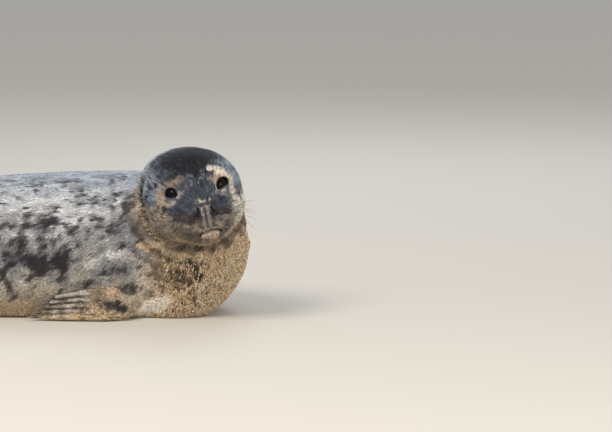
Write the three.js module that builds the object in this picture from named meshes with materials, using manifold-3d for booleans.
// Young grey seal lying on its belly, head turned to its right, as a still life-size model.
// Millimetres, +X toward the chest, +Y to the seal's left side, +Z up, the floor at Z = 0.
import * as THREE from 'three';
import Module from 'manifold-3d';

const wasm = await Module();
wasm.setup();

// ---- driving dimensions -------------------------------------------------
const GAP = 0.3;               // clearance between neighbouring solids
const EPS = 0.01;              // distance under which a point counts as on the floor
// trunk: along X, centre line, half width, height above and depth below the centre
const TRUNK_X = [-400, -330, -240, -120, 20, 160, 280, 340, 394, 543];
const TRUNK_CY = [0, 0, 0, 0, 0, 0, 0, -3, -15, -42];
const TRUNK_CZ = [46, 62, 84, 104, 117, 123, 125, 126, 126, 125];
const TRUNK_HALF = [62, 78, 106, 138, 158, 166, 161, 154, 149, 140];
const TRUNK_UP = [36, 50, 78, 106, 122, 129, 129, 123, 110, 94];
const TRUNK_DOWN = [48, 66, 97, 125, 141, 148, 151, 153, 152, 146];
// superellipse powers of the back and, at each station, of the belly
const TRUNK_ROUND_UP = 2.1, TRUNK_ROUND_DOWN = [2.9, 2.9, 2.9, 2.9, 2.9, 2.9, 2.9, 3.1, 3.3, 3.1];
const CHEST_FROM = 394, CHEST_TO = 543;               // where the chest rounds off
const RUMP_FROM = -345, RUMP_TO = -405;               // where the rump rounds off
// neck: a chain of tapered capsules, x y z radius
const NECK = [[315, -5, 132, 106], [370, -30, 150, 102], [415, -75, 182, 97], [436, -104, 208, 88]];
const NECK_BLEND = 40;
// fold of fat behind the head
const COLLAR_AT = [434, -113, 217], COLLAR_YAW = 74, COLLAR_PITCH = 18;
const COLLAR_HALF = 97, COLLAR_UP = 94, COLLAR_DOWN = 118, COLLAR_THICK = 38;
// fat of the throat, beside the chin
const DEWLAP = [[500, -112, 173], [41, 52, 45]];
// head frame: a forward, b to its left, c up
const HEAD_AT = [446, -160, 231.5], HEAD_YAW = 78, HEAD_PITCH = -6, HEAD_ROLL = 11;
const CRANIUM = [[-20, 0, -3], [86, 91, 81]];
const CHEEK = [[14, 0, -30], [76, 85, 56]];
const MUZZLE = [[58, 0, -26], [46, 57, 41]];
const BRIDGE = [[0, 0, 24, 40], [84, 0, -3, 22]];
const CHIN = [[66, 0, -61], [30, 33, 20]];
const PAD = [[78, 25, -27], [26, 27, 22]];
const NOSE_TIP = [[95, 0, -10], [13, 17, 14]];
const NOSE_PAD = [[97.5, 0, -8], [12.5, 17, 12]];
const EYE_AT = [37.2, 39.1, 14.5], EYE_R = 17, EYE_AXIS = [0.66, 0.56, 0.48], EYE_OPEN = 10.5;
const LID = 1.6;
const HEAD_BACK = -26, HEAD_LOW = -84, HEAD_SIDE = 110, JAW_BACK = 42, JAW_TOP = -48.5, MUZZLE_BACK = 58;
// limbs, in the frame x, distance from the middle plane, z
const ARM = [[345, 104, 38, 38], [306, 147, 25, 25], [276, 160, 31, 18]];
const FORE_ROOT = [[322, 130, 36], [318, 138, 20]];
const FORE_BASE = [[298, 156, 42], [286, 166, 12]];
const FORE_MID = [[246, 164, 49], [226, 168, 9]];
const FORE_TIP = [[197, 163, 43], [166, 162, 6.5]];
const FORE_R = [[14, 15, 15, 14, 13], [7.2, 8, 8, 7.6, 7], [4.6, 4.9, 4.9, 4.7, 4.4]];
const FORE_BLEND = 3, FORE_CLAW = 21, CLAW_R = 2.9;
const LEG = [[-310, 32, 64, 46], [-396, 45, 42, 25]];
const HIND_ACROSS = [-48, -36, -25, -12, 0, 12, 24, 35, 46];
const HIND_LONG = [152, 134, 130, 119, 120, 118, 128, 131, 148];
const HIND_ROOT = [-384, 44, 42], HIND_BASE = [-408, 46, 42];
const HIND_MID = [-395, 52, 43], HIND_TIP = [-392, 54, 41.5];
const HIND_LEAN = [0.62, -0.785];
const HIND_R = [[13, 10], [8, 5], [6, 3.6]], HIND_BLEND = 5.5, HIND_CLAW = 9, HIND_CLAW_R = 1.8;
const TAIL = [[-350, 0, 62, 40], [-446, 0, 44, 11]], TAIL_FLAT = 1.25;
// partings between the named solids
const CUT_SHOULDER = 300, CUT_LOIN = -140, CUT_RUMP = -392, CUT_NECK = 168;

// ---- small maths --------------------------------------------------------
const clamp = (x, a, b) => Math.min(Math.max(x, a), b);
const rad = THREE.MathUtils.degToRad;
const V = (a) => new THREE.Vector3(a[0], a[1], a[2]);
const mix = (a, b, t) => a.map((x, i) => x + (b[i] - x) * t);
// smooth union of two distances with a fillet of about k
function smin(a, b, k) {
  const h = clamp(0.5 + 0.5 * (b - a) / k, 0, 1);
  return b * (1 - h) + a * h - k * h * (1 - h);
}
const smax = (a, b, k) => -smin(-a, -b, k);
// smooth curve through a table of stations
function table(xs, ys) {
  const n = xs.length, h = [], d = [], m = [];
  for (let i = 0; i < n - 1; i++) { h.push(xs[i + 1] - xs[i]); d.push((ys[i + 1] - ys[i]) / h[i]); }
  for (let i = 0; i < n; i++) {
    if (i === 0) m.push(d[0]);
    else if (i === n - 1) m.push(d[n - 2]);
    else m.push((d[i] * h[i - 1] + d[i - 1] * h[i]) / (h[i - 1] + h[i]));
  }
  return (x) => {
    const c = clamp(x, xs[0], xs[n - 1]);
    let i = 0;
    while (i < n - 2 && c >= xs[i + 1]) i++;
    const t = (c - xs[i]) / h[i], s = 1 - t;
    return (1 + 2 * t) * s * s * ys[i] + t * s * s * h[i] * m[i]
      + t * t * (3 - 2 * t) * ys[i + 1] + t * t * (t - 1) * h[i] * m[i + 1];
  };
}
function axes(yaw, pitch, roll) {
  const y = rad(yaw), p = rad(pitch), r = rad(roll);
  const f = new THREE.Vector3(Math.cos(y) * Math.cos(p), -Math.sin(y) * Math.cos(p), Math.sin(p));
  const l0 = new THREE.Vector3(Math.sin(y), Math.cos(y), 0);
  const u0 = f.clone().cross(l0);
  const l = l0.clone().multiplyScalar(Math.cos(r)).addScaledVector(u0, Math.sin(r));
  const u = u0.clone().multiplyScalar(Math.cos(r)).addScaledVector(l0, -Math.sin(r));
  return [f, l, u];
}
const frameMatrix = (at, ax) => new THREE.Matrix4().makeBasis(ax[0], ax[1], ax[2]).setPosition(V(at));
const into = (p, at, ax) => {
  const v = p.clone().sub(V(at));
  return new THREE.Vector3(v.dot(ax[0]), v.dot(ax[1]), v.dot(ax[2]));
};

// ---- distances to the parts of the body ---------------------------------
// tapered capsule between two points with a radius at each end
function capsule(p, a, b) {
  const A = V(a), ab = V(b).sub(A), pa = p.clone().sub(A);
  const t = clamp(pa.dot(ab) / ab.lengthSq(), 0, 1);
  return pa.addScaledVector(ab, -t).length() - (a[3] + (b[3] - a[3]) * t);
}
function ellipsoid(p, e) {
  const v = p.clone().sub(V(e[0])), r = e[1];
  const k0 = Math.hypot(v.x / r[0], v.y / r[1], v.z / r[2]);
  const k1 = Math.hypot(v.x / r[0] ** 2, v.y / r[1] ** 2, v.z / r[2] ** 2);
  return k0 * (k0 - 1) / Math.max(k1, 1e-6);
}
const trunkY = table(TRUNK_X, TRUNK_CY), trunkZ = table(TRUNK_X, TRUNK_CZ);
const trunkW = table(TRUNK_X, TRUNK_HALF), trunkU = table(TRUNK_X, TRUNK_UP);
const trunkD = table(TRUNK_X, TRUNK_DOWN), trunkN = table(TRUNK_X, TRUNK_ROUND_DOWN);
const roundOff = (x, a, b) => Math.sqrt(Math.max(1 - clamp((x - a) / (b - a), 0, 1) ** 2, 1e-4));
function trunk(p) {
  const e = roundOff(p.x, CHEST_FROM, CHEST_TO) * roundOff(p.x, RUMP_FROM, RUMP_TO);
  const w = trunkW(p.x) * e, up = trunkU(p.x) * e, dn = trunkD(p.x) * e;
  const q = p.z - trunkZ(p.x), above = q > 0;
  const h = above ? up : dn, n = above ? TRUNK_ROUND_UP : trunkN(p.x);
  const k = (Math.abs((p.y - trunkY(p.x)) / w) ** n + Math.abs(q / h) ** n) ** (1 / n);
  return (k - 1) * Math.min(w, (up + dn) / 2);
}
function chain(p, pts, k) {
  let d = capsule(p, pts[0], pts[1]);
  for (let i = 1; i < pts.length - 1; i++) d = smin(d, capsule(p, pts[i], pts[i + 1]), k);
  return d;
}
const COLLAR_AXES = axes(COLLAR_YAW, COLLAR_PITCH, 0);
function collar(p) {
  const q = into(p, COLLAR_AT, COLLAR_AXES), n = 2.3;
  const r = q.z > 0 ? COLLAR_UP : COLLAR_DOWN;
  const ring = (Math.abs(q.y / COLLAR_HALF) ** n + Math.abs(q.z / r) ** n) ** (2 / n);
  return (Math.sqrt(ring + (q.x / COLLAR_THICK) ** 2) - 1) * COLLAR_THICK;
}
const HEAD_AXES = axes(HEAD_YAW, HEAD_PITCH, HEAD_ROLL);
function head(p) {
  const s = into(p, HEAD_AT, HEAD_AXES);
  s.y = Math.abs(s.y);
  let d = smin(ellipsoid(s, CRANIUM), ellipsoid(s, CHEEK), 22);
  d = smin(d, ellipsoid(s, MUZZLE), 14);
  d = smin(d, capsule(s, BRIDGE[0], BRIDGE[1]), 18);
  d = smin(d, ellipsoid(s, CHIN), 10);
  d = smin(d, ellipsoid(s, PAD), 9);
  d = smin(d, ellipsoid(s, NOSE_TIP), 9);
  return smin(d, s.distanceTo(V(EYE_AT)) - EYE_R - LID, 6);
}
const mirrored = (p) => new THREE.Vector3(p.x, Math.abs(p.y), p.z);
const leg = (p) => capsule(mirrored(p), LEG[0], LEG[1]);
const floorCut = (d, p) => smax(d, -p.z, 5);
function flesh(p) {                 // the whole body without flippers and tail
  let d = smin(trunk(p), leg(p), 22);
  d = smin(d, chain(p, NECK, 10), NECK_BLEND);
  d = smin(d, ellipsoid(p, DEWLAP), 20);
  d = smin(d, collar(p), 8);
  return floorCut(smin(d, head(p), 3), p);
}
function digits(p, rows, radii, k) {
  let d = 1e3;
  for (let i = 0; i < rows[0].length; i++) {
    const [b, m, t] = [0, 1, 2].map((j) => [...rows[j + 1][i], radii[j][i]]);
    d = smin(d, smin(capsule(p, b, m), capsule(p, m, t), 3), k);
  }
  return d;
}
const foreRows = [FORE_ROOT, FORE_BASE, FORE_MID, FORE_TIP].map((row) =>
  [0, 0.25, 0.5, 0.75, 1].map((u) => mix(row[0], row[1], u)));
const fore = (p) => smin(chain(p, ARM, 12), digits(p, foreRows, FORE_R, FORE_BLEND), 12);
const lean = (x, at, w) => [x, at[1] + w * HIND_LEAN[0], at[2] + w * HIND_LEAN[1]];
const hindRows = [
  HIND_ACROSS.map((w) => lean(HIND_ROOT[0], HIND_ROOT, w * 0.3)),
  HIND_ACROSS.map((w) => lean(HIND_BASE[0], HIND_BASE, w * 0.42)),
  HIND_ACROSS.map((w, i) => lean(HIND_MID[0] - HIND_LONG[i] * 0.55, HIND_MID, w * 0.8)),
  HIND_ACROSS.map((w, i) => lean(HIND_TIP[0] - HIND_LONG[i], HIND_TIP, w)),
];
const hindRadii = HIND_R.map((r) => HIND_ACROSS.map((w, i) => r[i % 2]));
const hind = (p) => smin(capsule(p, LEG[0], LEG[1]), digits(p, hindRows, hindRadii, HIND_BLEND), 12);
function tail(p) {
  const q = p.clone();
  q.z = (q.z - 50) * TAIL_FLAT + 50;
  return capsule(q, TAIL[0], TAIL[1]);
}

// ---- solids -------------------------------------------------------------
// distance along a ray from inside to the first place where the field passes the level
function reach(field, from, dir, level, far = 330, steps = 66) {
  const at = (r) => field(from.clone().addScaledVector(dir, r)) - level;
  let lo = 0, hi = far;
  for (let i = 1; i <= steps; i++) {
    const r = far * i / steps;
    if (at(r) > 0) { hi = r; break; }
    lo = r;
  }
  for (let i = 0; i < 22; i++) {
    const mid = (lo + hi) / 2;
    if (at(mid) > 0) hi = mid; else lo = mid;
  }
  return (lo + hi) / 2;
}
// a closed mesh welded at shared corners, as a solid for joining and cutting
function solid(geometry, matrix) {
  const g = geometry.clone();
  g.deleteAttribute('normal');
  g.deleteAttribute('uv');
  if (matrix) g.applyMatrix4(matrix);
  const pos = g.attributes.position, key = new Map(), verts = [], remap = [];
  for (let i = 0; i < pos.count; i++) {
    const c = [pos.getX(i), pos.getY(i), pos.getZ(i)];
    const k = c.map((x) => Math.round(x * 1e4)).join(',');
    if (!key.has(k)) { key.set(k, verts.length / 3); verts.push(...c); }
    remap.push(key.get(k));
  }
  const index = g.index ? Array.from(g.index.array) : [...Array(pos.count).keys()];
  const tris = [];
  for (let i = 0; i < index.length; i += 3) {
    const [a, b, c] = [0, 1, 2].map((j) => remap[index[i + j]]);
    if (a !== b && b !== c && a !== c) tris.push(a, b, c);
  }
  return new wasm.Manifold(new wasm.Mesh({
    numProp: 3, vertProperties: new Float32Array(verts), triVerts: new Uint32Array(tris) }));
}
// move every vertex of a geometry with a function of its place on the plain shape
function shaped(geometry, place) {
  const pos = geometry.attributes.position, p = new THREE.Vector3();
  for (let i = 0; i < pos.count; i++) {
    const q = place(p.fromBufferAttribute(pos, i).clone());
    if (Math.abs(q.z) < EPS) q.z = 0;
    pos.setXYZ(i, q.x, q.y, q.z);
  }
  return geometry;
}
// star-shaped solid: a sphere's vertices pushed out from a centre to the surface of the body
function star(field, at, ax, wide, high, level = 0) {
  const basis = new THREE.Matrix4().makeBasis(ax[1], ax[0], ax[2].clone().negate());
  return solid(shaped(new THREE.SphereGeometry(1, wide, high), (v) => {
    const dir = v.normalize().applyMatrix4(basis);
    return V(at).addScaledVector(dir, reach(field, V(at), dir, level));
  }));
}
// barrel along X: rings of rays from the centre line of the trunk
function barrel(field, x0, x1, round, rings, level = 0) {
  const g = new THREE.CylinderGeometry(1, 1, 1, round, rings);
  return solid(shaped(g, (v) => {
    const x = x0 + (x1 - x0) * (v.y + 0.5), from = new THREE.Vector3(x, trunkY(x), trunkZ(x) * 0.9);
    if (Math.hypot(v.x, v.z) < 1e-6) return from;
    const dir = new THREE.Vector3(0, v.x, -v.z).normalize();
    return from.clone().addScaledVector(dir, reach(field, from, dir, level));
  }));
}
// paddle: a slab whose middle follows rows of points from the root out to the digits' tips,
// as long and wide as the field reaches, and as thick as it is across the fin's plane
const ALONG = [[0, 0], [1, 0], [1, 0.5], [2, 0], [2, 0.5], [2, 0.9], [2, 1]];
function paddle(field, rows, per) {
  const n = rows[0].length - 1, cols = n * per + 4;
  const W = V(rows[2][n]).sub(V(rows[2][0])).normalize();
  const N = W.clone().cross(new THREE.Vector3(-1, 0, 0)).normalize();
  const at = (r, k) => {
    const i = Math.min(Math.floor(k), n - 1);
    return V(mix(rows[r][i], rows[r][i + 1], k - i));
  };
  const middle = (station, k) => {
    const [r, t] = ALONG[station], a = at(r, k), b = at(Math.min(r + 1, 3), k);
    if (r < 2) return a.lerp(b, t);
    const dir = b.clone().sub(a).normalize();
    return a.addScaledVector(dir, reach(field, a, dir, 0, 110, 110) * t);
  };
  const g = new THREE.BoxGeometry(ALONG.length - 1, 1, cols, ALONG.length - 1, 1, cols);
  return solid(shaped(g, (v) => {
    const station = Math.round(v.x + (ALONG.length - 1) / 2), c = Math.round(v.z + cols / 2);
    const k = clamp((c - 2) / per, 0, n), m = middle(station, k);
    const over = c < 2 ? c - 2 : Math.max(c - (cols - 2), 0);
    if (over) {
      const out = W.clone().multiplyScalar(Math.sign(over));
      m.addScaledVector(out, reach(field, m, out, 0, 40, 60) * (Math.abs(over) === 2 ? 1 : 0.8));
    }
    const edge = Math.abs(over) === 2 || station === ALONG.length - 1;
    const n2 = N.clone().multiplyScalar(Math.sign(v.y));
    return edge ? m : m.addScaledVector(n2, Math.max(reach(field, m, n2, 0, 60, 60), 0.5));
  }));
}
const block = (x0, x1, y0, y1, z0, z1, matrix) => solid(
  new THREE.BoxGeometry(x1 - x0, y1 - y0, z1 - z0).translate((x0 + x1) / 2, (y0 + y1) / 2, (z0 + z1) / 2),
  matrix);
// curved claw: a cone bent down along its length
function claw(from, dir, down, long, radius, grow = 0) {
  const D = V(dir).normalize(), N = V(down).addScaledVector(D, -V(down).dot(D)).normalize();
  const S = D.clone().cross(N);
  const g = new THREE.SphereGeometry(1, 5, 4);
  return solid(shaped(g, (v) => {
    const t = (v.y + 1) / 2, r = (radius * (1 - 0.72 * t * t)) + grow;
    return V(from).addScaledVector(D, (long + 2 * grow) * t - grow).addScaledVector(N, long * 0.22 * t * t)
      .addScaledVector(S, v.x * r).addScaledVector(N, v.z * r);
  }));
}

const BIG = 900, headM = frameMatrix(HEAD_AT, HEAD_AXES);
const headBox = (grow) => block(HEAD_BACK - grow, 200, -HEAD_SIDE - grow, 160, HEAD_LOW - grow, 160, headM);
const ball = (e, grow, w, h) => solid(new THREE.SphereGeometry(1, w, h)
  .scale(e[1][0] + grow, e[1][1] + grow, e[1][2] + grow).translate(...e[0]), headM);
const floorUp = block(-BIG, BIG, -BIG, BIG, 0, BIG);

const parts = {};
const rumpEnd = CUT_RUMP;
const barrelOf = (level, round, rings) =>
  barrel(flesh, rumpEnd - level, CUT_SHOULDER + 4, round, rings, level);
const frontOf = (level, w, h) => star(flesh, [398, -48, 128], axes(35, 0, 0), w, h, level);
const whole = barrelOf(0, 30, 18);
const front = frontOf(0, 32, 22);
const slab = (x0, x1, z0 = -50, z1 = BIG) => block(x0, x1, -BIG, BIG, z0, z1);
parts.loin = whole.intersect(slab(-BIG, CUT_LOIN - GAP));
parts.trunk = whole.intersect(slab(CUT_LOIN, CUT_SHOULDER - GAP));
const fore1 = front.subtract(headBox(GAP));
parts.chest = fore1.intersect(slab(CUT_SHOULDER, BIG, -50, CUT_NECK - GAP));
parts.neck = fore1.intersect(slab(CUT_SHOULDER, BIG, CUT_NECK));

// head, muzzle, jaw, nose and eyes
const skull = star(flesh, mix(HEAD_AT, [464, -260, 215], 0.18), HEAD_AXES, 38, 26).intersect(headBox(0));
const jawBox = (g) => block(JAW_BACK - g, 200, -160, 160, -200, JAW_TOP + g, headM);
const muzzleBox = (g) => block(MUZZLE_BACK - g, 200, -160, 160, JAW_TOP - g, 200, headM);
parts.lower_jaw = skull.intersect(jawBox(0));
const upper = skull.subtract(jawBox(GAP));
parts.nose = ball(NOSE_PAD, 0, 14, 8);
parts.muzzle = upper.intersect(muzzleBox(0)).subtract(ball(NOSE_PAD, GAP, 14, 8));
parts.head = upper.subtract(muzzleBox(GAP));
for (const [name, sign] of [['left', 1], ['right', -1]]) {
  const at = [EYE_AT[0], EYE_AT[1] * sign, EYE_AT[2]];
  const axis = V([EYE_AXIS[0], EYE_AXIS[1] * sign, EYE_AXIS[2]]).normalize();
  const turn = new THREE.Matrix4().makeRotationFromQuaternion(
    new THREE.Quaternion().setFromUnitVectors(new THREE.Vector3(0, 1, 0), axis)).setPosition(V(at));
  const m = headM.clone().multiply(turn);
  const opening = solid(new THREE.CylinderGeometry(EYE_OPEN + 3, EYE_OPEN, 24, 14).translate(0, 22, 0), m);
  const socket = solid(new THREE.SphereGeometry(EYE_R + GAP, 14, 8), m);
  parts[`eye_${name}`] = solid(new THREE.SphereGeometry(EYE_R, 14, 8), m);
  for (const k of ['head', 'muzzle']) parts[k] = parts[k].subtract(socket).subtract(opening);
}

// tail and limbs, each cut back to clear the body
const bodyGrown = barrelOf(GAP, 30, 18).add(frontOf(GAP, 32, 22));
parts.tail = star(tail, [-400, 0, 53], axes(180, 0, 0), 16, 8)
  .intersect(slab(-BIG, CUT_RUMP - GAP, 0));
const tailGrown = star(tail, [-400, 0, 53], axes(180, 0, 0), 16, 8, GAP);
const mirror = (m) => m.transform([1, 0, 0, 0, 0, -1, 0, 0, 0, 0, 1, 0, 0, 0, 0, 1]);
const nails = {};
let foreFin = paddle(fore, foreRows, 1).intersect(floorUp);
let hindFin = paddle(hind, hindRows, 1).intersect(slab(-BIG, CUT_RUMP - GAP, 0));
foreRows[3].forEach((tip, i) => {
  const dir = V(tip).sub(V(foreRows[2][i])).normalize();
  const at = V(tip).addScaledVector(dir, 1.5);
  at.z = Math.max(at.z, CLAW_R + 0.4);
  const run = [dir.x, dir.y - 0.08, Math.max(dir.z, 0)];
  const sink = tip[2] < 14 ? [0, 0.94, 0.1] : [0, 0.35, -0.94];
  nails[`fore_claw_${i + 1}`] = claw(at.toArray(), run, sink, FORE_CLAW, CLAW_R);
  foreFin = foreFin.subtract(claw(at.toArray(), run, sink, FORE_CLAW, CLAW_R, GAP));
});
hindRows[3].filter((t, i) => i % 2 === 0).forEach((tip, i) => {
  const dir = V(tip).sub(V(hindRows[2][i * 2])).normalize();
  const at = V(tip).addScaledVector(dir, 1.5);
  at.z = Math.max(at.z, HIND_CLAW_R + 0.6);
  const run = [dir.x, dir.y, Math.max(dir.z, 0)], sink = [0, 0.7, tip[2] < 14 ? 0.1 : -0.7];
  nails[`hind_claw_${i + 1}`] = claw(at.toArray(), run, sink, HIND_CLAW, HIND_CLAW_R);
  hindFin = hindFin.subtract(claw(at.toArray(), run, sink, HIND_CLAW, HIND_CLAW_R, GAP));
});
for (const [name, m] of Object.entries(nails)) {
  parts[name.replace('claw', 'claw_left')] = m;
  parts[name.replace('claw', 'claw_right')] = mirror(m);
}
const fins = [['fore_flipper', foreFin, bodyGrown], ['hind_flipper', hindFin, tailGrown]];
for (const [name, fin, clear] of fins) {
  parts[`${name}_left`] = fin.subtract(clear);
  parts[`${name}_right`] = mirror(fin).subtract(clear);
}

// ---- the model ----------------------------------------------------------
const COLOURS = { eye: 0x120f0d, nose: 0x23242a, claw: 0x2b2622, coat: 0x9a9a98, face: 0x55585f };
function mesh(name, m) {
  const out = m.getMesh(), np = out.numProp, pos = [];
  for (let i = 0; i < out.vertProperties.length; i += np) {
    pos.push(...out.vertProperties.slice(i, i + 3));
  }
  const g = new THREE.BufferGeometry();
  g.setAttribute('position', new THREE.Float32BufferAttribute(pos, 3));
  g.setIndex(Array.from(out.triVerts));
  g.computeVertexNormals();
  const kind = Object.keys(COLOURS).find((k) => name.includes(k))
    ?? (['head', 'muzzle', 'lower_jaw'].includes(name) ? 'face' : 'coat');
  const material = new THREE.MeshStandardMaterial({
    color: COLOURS[kind], roughness: kind === 'eye' ? 0.1 : 0.75, name: kind });
  const body = new THREE.Mesh(g, material);
  body.name = name;
  return body;
}
const group = new THREE.Group();
group.name = 'grey_seal';
for (const [name, m] of Object.entries(parts)) group.add(mesh(name, m));
export default group;
